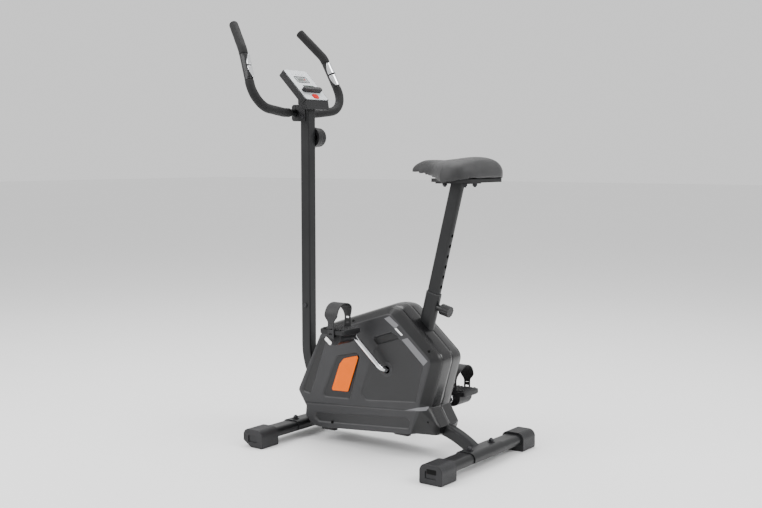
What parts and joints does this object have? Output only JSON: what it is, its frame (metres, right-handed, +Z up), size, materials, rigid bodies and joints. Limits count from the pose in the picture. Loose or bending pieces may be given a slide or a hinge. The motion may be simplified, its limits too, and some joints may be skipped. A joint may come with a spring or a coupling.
{
  "type": "exercise bike",
  "caption": "Upright magnetic exercise bike with turning pedals, belt-driven flywheel, height-adjustable seat, tilting handlebar and a sloping console.",
  "frame": {"origin": "on the floor, under the centre of the bounding box", "axes": "+X to the rear of the bike, +Y to the rider's right, +Z up"},
  "size_m": [0.829, 0.5, 1.2582],
  "materials": {
    "powder_black": "satin black powder coat",
    "bare_steel": "bright zinc plate",
    "chrome_plate": "polished chrome plate",
    "cast_iron_grey": "turned cast iron, lightly oiled",
    "black_plastic": "fine-grained black plastic",
    "cover_plastic": "charcoal side panels with glossy black shoulders",
    "orange_plastic": "glossy orange",
    "silver_plastic": "silver painted plastic",
    "cap_plastic": "dark grey grained plastic",
    "pedal_plastic": "black moulded plastic with a treaded top",
    "strap_rubber": "soft black moulded strap",
    "belt_rubber": "ribbed black rubber",
    "wheel_plastic": "black nylon",
    "foam": "closed-cell black foam",
    "vinyl": "dark grey grained vinyl over foam",
    "pan_plastic": "black structural plastic",
    "magnet_metal": "nickel-plated magnet blocks",
    "bearing_steel": "ground steel",
    "lens": "clear window over a grey display",
    "board_green": "green circuit board",
    "battery_wrap": "printed wrap, blank",
    "red_rubber": "red soft key",
    "liner_nylon": "black nylon bush"
  },
  "bodies": {
    "frame": {"foot_bars": "powder_black", "foot_saddles": "powder_black", "foot_bolts": "bare_steel", "front_end_caps": "cap_plastic", "rear_end_caps": "cap_plastic", "wheel_axles": "bare_steel", "spine_tube": "powder_black", "lower_post": "powder_black", "front_post": "powder_black", "seat_sleeve": "powder_black", "sleeve_liner": "liner_nylon", "bottom_bracket": "powder_black", "bearing_cups": "bearing_steel", "flywheel_bracket": "powder_black", "flywheel_axle": "bare_steel", "magnet_pivot": "bare_steel", "tension_cable": "black_plastic", "drive_belt": "belt_rubber", "left_cover": "cover_plastic", "right_cover": "cover_plastic", "accent_inserts": "orange_plastic", "cover_screws": "bare_steel", "lock_spring": "bearing_steel", "clamp_base": "black_plastic", "clamp_cap": "black_plastic", "frame_bolts": "bare_steel", "console_case": "black_plastic", "console_faceplate": "silver_plastic", "display_lens": "lens", "circuit_board": "board_green", "batteries": "battery_wrap", "device_ledge": "black_plastic", "tension_housing": "black_plastic"},
    "crank_set": {"crank": "chrome_plate", "drive_pulley": "black_plastic", "pedal_spindles": "bare_steel"},
    "left_pedal_set": {"left_pedal": "pedal_plastic", "left_strap": "strap_rubber", "left_pedal_weight": "bare_steel"},
    "right_pedal_set": {"right_pedal": "pedal_plastic", "right_strap": "strap_rubber", "right_pedal_weight": "bare_steel"},
    "flywheel_set": {"flywheel": "cast_iron_grey", "flywheel_bearings": "bearing_steel"},
    "magnet_arm": {"magnet_bracket": "bare_steel", "magnets": "magnet_metal"},
    "seat": {"seat_post": "powder_black", "seat_base": "pan_plastic", "seat_nuts": "bare_steel", "seat_cushion": "vinyl"},
    "lock": {"lock_pin": "bare_steel", "lock_knob": "black_plastic"},
    "handlebar_set": {"handlebar": "powder_black", "foam_grips": "foam", "sensor_holders": "black_plastic", "sensor_plates": "chrome_plate"},
    "dial": {"tension_dial": "black_plastic"},
    "button": {"console_button": "red_rubber"},
    "left_wheel": {"left_transport_wheel": "wheel_plastic"},
    "right_wheel": {"right_transport_wheel": "wheel_plastic"}
  },
  "joints": [
    {"name": "crank_spin", "type": "hinge", "parent": "frame", "child": "crank_set", "pos_m": [0.10852, 0, 0.246], "axis": [0, 1, 0], "continuous": true},
    {"name": "left_pedal_spin", "type": "hinge", "parent": "crank_set", "child": "left_pedal_set", "pos_m": [0.01006, -0.121, 0.34832], "axis": [0, 1, 0], "continuous": true},
    {"name": "right_pedal_spin", "type": "hinge", "parent": "crank_set", "child": "right_pedal_set", "pos_m": [0.20699, 0.121, 0.14368], "axis": [0, 1, 0], "continuous": true},
    {"name": "flywheel_spin", "type": "hinge", "parent": "frame", "child": "flywheel_set", "pos_m": [-0.06148, 0, 0.218], "axis": [0, 1, 0], "continuous": true},
    {"name": "tension_turn", "type": "hinge", "parent": "frame", "child": "dial", "pos_m": [-0.24097, 0.016, 0.91], "axis": [0, 1, 0], "range_deg": [-270, 0]},
    {"name": "magnet_tilt", "type": "hinge", "parent": "frame", "child": "magnet_arm", "pos_m": [-0.17347, 0, 0.218], "axis": [0, 1, 0], "range_deg": [-2.5, 0]},
    {"name": "seat_slide", "type": "slide", "parent": "frame", "child": "seat", "axis": [0.2419, 0, 0.9703], "range_m": [-0.15, 0.03]},
    {"name": "pin_pull", "type": "slide", "parent": "frame", "child": "lock", "axis": [0.9703, 0, -0.2419], "range_m": [0, 0.008], "stiffness_N_per_m": 900, "deforming": ["lock_spring"]},
    {"name": "handlebar_tilt", "type": "hinge", "parent": "frame", "child": "handlebar_set", "pos_m": [-0.27648, 0, 0.984], "axis": [0, 1, 0], "range_deg": [-20, 20]},
    {"name": "button_press", "type": "slide", "parent": "frame", "child": "button", "axis": [-0.7071, 0, -0.7071], "range_m": [0, 0.0015], "stiffness_N_per_m": 600},
    {"name": "left_wheel_spin", "type": "hinge", "parent": "frame", "child": "left_wheel", "pos_m": [-0.26448, -0.2295, 0.02], "axis": [0, 1, 0], "continuous": true},
    {"name": "right_wheel_spin", "type": "hinge", "parent": "frame", "child": "right_wheel", "pos_m": [-0.26448, 0.2295, 0.02], "axis": [0, 1, 0], "continuous": true}
  ],
  "couplings": [
    {"joint": "flywheel_spin", "follows": "crank_spin", "ratio": 6.9412},
    {"joint": "magnet_tilt", "follows": "tension_turn", "ratio": 0.009259}
  ]
}
